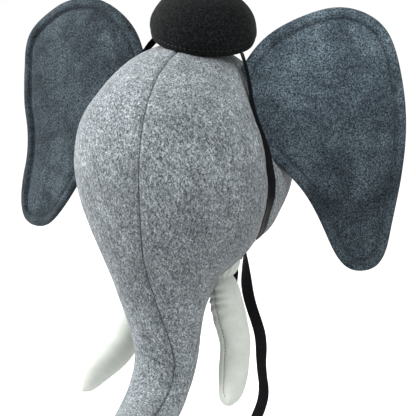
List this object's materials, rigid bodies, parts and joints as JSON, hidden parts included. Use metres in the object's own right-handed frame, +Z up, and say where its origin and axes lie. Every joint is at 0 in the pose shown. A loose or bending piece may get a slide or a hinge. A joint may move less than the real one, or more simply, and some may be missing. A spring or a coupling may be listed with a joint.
{
  "type": "wall-mounted stuffed elephant head",
  "caption": "Wall-mounted stuffed elephant head in felt with plush ears, white tusks, a curved trunk, a small black cap and a chin ribbon.",
  "frame": {"origin": "centre of the backboard's rear face, which lies on the wall plane", "axes": "+Y out of the rear face into the wall, -Y the way the face looks, +Z up, +X the elephant's own left"},
  "size_m": [0.4225, 0.308, 0.4727],
  "materials": {
    "head_felt": "marled wool felt",
    "ear_plush": "short-pile plush",
    "tusk_felt": "smooth wool felt",
    "hat_felt": "wool felt",
    "ribbon_satin": "satin ribbon",
    "stuffing": "polyester fibre",
    "board_wood": "raw fibreboard",
    "steel": "zinc plated"
  },
  "bodies": {
    "head": {"backboard": "board_wood", "hanger_strap": "steel", "hanger_screws": "steel", "head_cover_left": "head_felt", "head_cover_right": "head_felt", "head_stuffing": "stuffing", "tusk_left_cover": "tusk_felt", "tusk_left_stuffing": "stuffing", "tusk_right_cover": "tusk_felt", "tusk_right_stuffing": "stuffing", "ribbon_left": "ribbon_satin", "ribbon_right": "ribbon_satin", "ribbon_knot": "ribbon_satin"},
    "trunk": {"trunk_cover_left": "head_felt", "trunk_cover_right": "head_felt", "trunk_stuffing": "stuffing"},
    "ear_left": {"ear_left_front": "ear_plush", "ear_left_back": "ear_plush", "ear_left_wadding": "stuffing"},
    "ear_right": {"ear_right_front": "ear_plush", "ear_right_back": "ear_plush", "ear_right_wadding": "stuffing"},
    "hat": {"hat_crown": "hat_felt", "hat_hem": "hat_felt"},
    "tail_long": {"ribbon_tail_long": "ribbon_satin"},
    "tail_short": {"ribbon_tail_short": "ribbon_satin"},
    "ring": {"hanger_ring": "steel"}
  },
  "joints": [
    {"name": "ear_left_flap", "type": "hinge", "parent": "head", "child": "ear_left", "pos_m": [0.086, -0.0949, 0.0445], "axis": [0.4517, -0.0032, -0.8922], "range_deg": [-8, 12], "stiffness_Nm_per_rad": 0.6},
    {"name": "ear_right_flap", "type": "hinge", "parent": "head", "child": "ear_right", "pos_m": [-0.086, -0.0949, 0.0445], "axis": [0.4517, 0.0032, 0.8922], "range_deg": [-8, 12], "stiffness_Nm_per_rad": 0.6},
    {"name": "trunk_bend", "type": "hinge", "parent": "head", "child": "trunk", "pos_m": [0, -0.166, -0.188], "axis": [-1, 0, 0], "range_deg": [-10, 12], "stiffness_Nm_per_rad": 0.9},
    {"name": "hat_tip", "type": "hinge", "parent": "head", "child": "hat", "pos_m": [0.01234, -0.13752, 0.1131], "axis": [0.9955, 0, -0.095], "range_deg": [0, 6]},
    {"name": "tail_long_swing", "type": "hinge", "parent": "head", "child": "tail_long", "pos_m": [0.054, -0.0745, -0.105], "axis": [0, 1, 0], "range_deg": [-12, 12]},
    {"name": "tail_short_swing", "type": "hinge", "parent": "head", "child": "tail_short", "pos_m": [0.045, -0.0845, -0.105], "axis": [0, 1, 0], "range_deg": [-12, 12]},
    {"name": "ring_swing", "type": "hinge", "parent": "head", "child": "ring", "pos_m": [0, -0.0036, 0.047], "axis": [1, 0, 0], "range_deg": [0, 175]}
  ]
}
